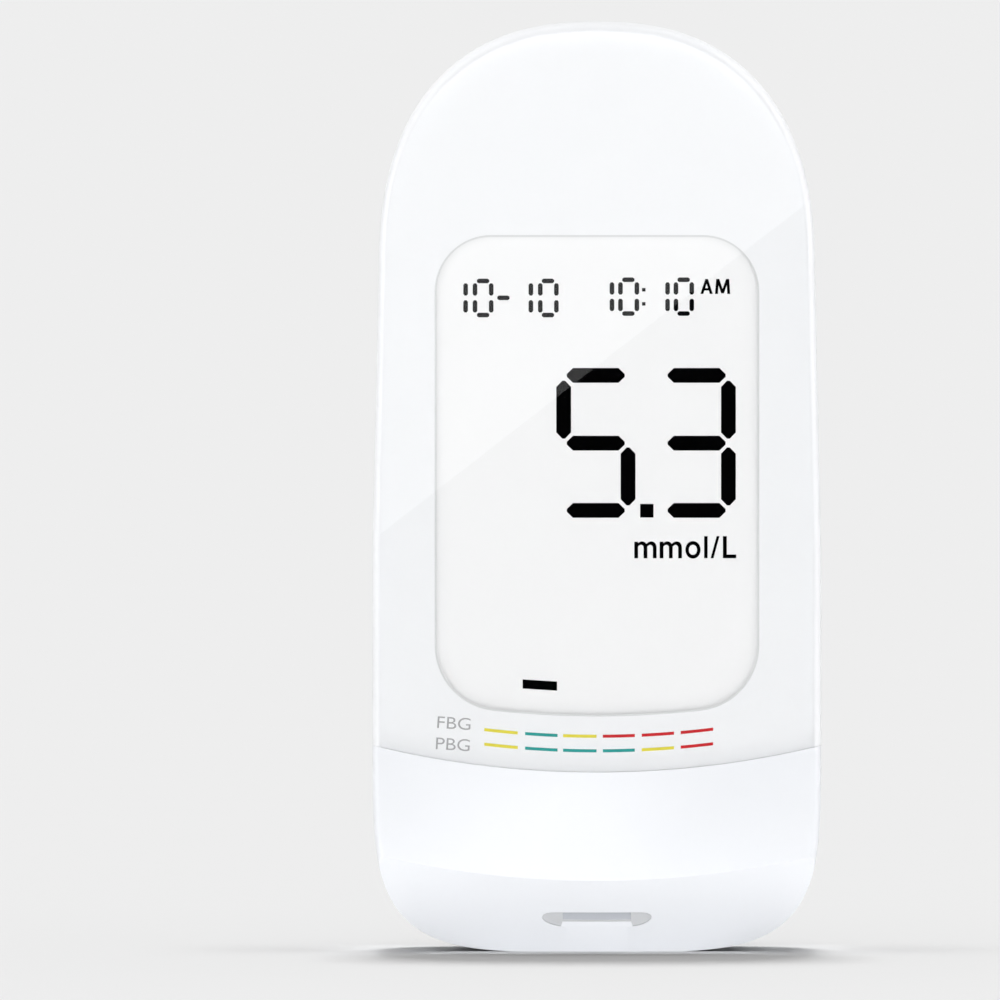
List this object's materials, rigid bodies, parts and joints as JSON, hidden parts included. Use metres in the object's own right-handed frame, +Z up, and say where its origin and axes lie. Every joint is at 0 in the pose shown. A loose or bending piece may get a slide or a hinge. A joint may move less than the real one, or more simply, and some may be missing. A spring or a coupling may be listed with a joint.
{
  "type": "blood glucose meter",
  "caption": "Upright white blood glucose meter with a large display under a glossy front panel, a test strip slot in its lower cap, two sprung buttons and a hinged battery door.",
  "frame": {"origin": "centre of the box at the base, on the surface that the meter stands on", "axes": "+X to the right as seen from the front, +Y from the front panel to the back, +Z up the length from the strip slot to the domed top"},
  "size_m": [0.0492, 0.022, 0.102],
  "materials": {
    "housing_white": "moulded, semi-gloss",
    "cap_white": "moulded, satin",
    "slot_grey": "moulded, satin",
    "clear_panel": "clear glossy plastic",
    "film_white": "printed film",
    "tape_white": "foam tape",
    "polariser": "anti-glare film",
    "display_glass": "polished",
    "reflector": "matt foil",
    "frame_black": "moulded",
    "elastomer": "silicone",
    "board_green": "solder resist",
    "chip_black": "moulded epoxy",
    "tin": "tinned",
    "ceramic": "ceramic",
    "connector_ivory": "moulded",
    "gold": "gold plated",
    "steel": "bright",
    "cell_sleeve": "plastic sleeve over a metal can",
    "button_grey": "satin"
  },
  "bodies": {
    "housing": {"front_housing": "housing_white", "rear_housing": "housing_white", "lower_cap": "cap_white", "slot_guide": "slot_grey", "front_panel": "clear_panel", "printed_film": "film_white", "panel_tape": "tape_white", "display_polariser": "polariser", "display_front_glass": "display_glass", "display_rear_glass": "display_glass", "display_reflector": "reflector", "display_frame": "frame_black", "display_connector": "elastomer", "main_board": "board_green", "microcontroller": "chip_black", "measuring_chip": "chip_black", "memory_chip": "chip_black", "clock_crystal": "tin", "capacitors": "ceramic", "thermistor": "ceramic", "buzzer": "chip_black", "memory_switch": "tin", "set_switch": "tin", "strip_connector": "connector_ivory", "strip_contacts": "gold", "battery_tray": "housing_white", "battery_plates": "steel", "battery_springs": "steel", "battery_cells": "cell_sleeve", "housing_screws": "steel", "cap_screws": "steel", "board_screws": "steel"},
    "battery_door": {"battery_door": "housing_white"},
    "memory_button": {"memory_button": "housing_white"},
    "set_button": {"set_button": "button_grey"}
  },
  "joints": [
    {"name": "door_hinge", "type": "hinge", "parent": "housing", "child": "battery_door", "pos_m": [0, 0.0098, 0.0829], "axis": [1, 0, 0], "range_deg": [0, 90]},
    {"name": "memory_press", "type": "slide", "parent": "housing", "child": "memory_button", "axis": [-1, 0, 0], "range_m": [0, 0.0004], "stiffness_N_per_m": 2000, "springref_m": -0.0003},
    {"name": "set_press", "type": "slide", "parent": "housing", "child": "set_button", "axis": [0, -1, 0], "range_m": [0, 0.00035], "stiffness_N_per_m": 2000, "springref_m": -0.0003}
  ]
}
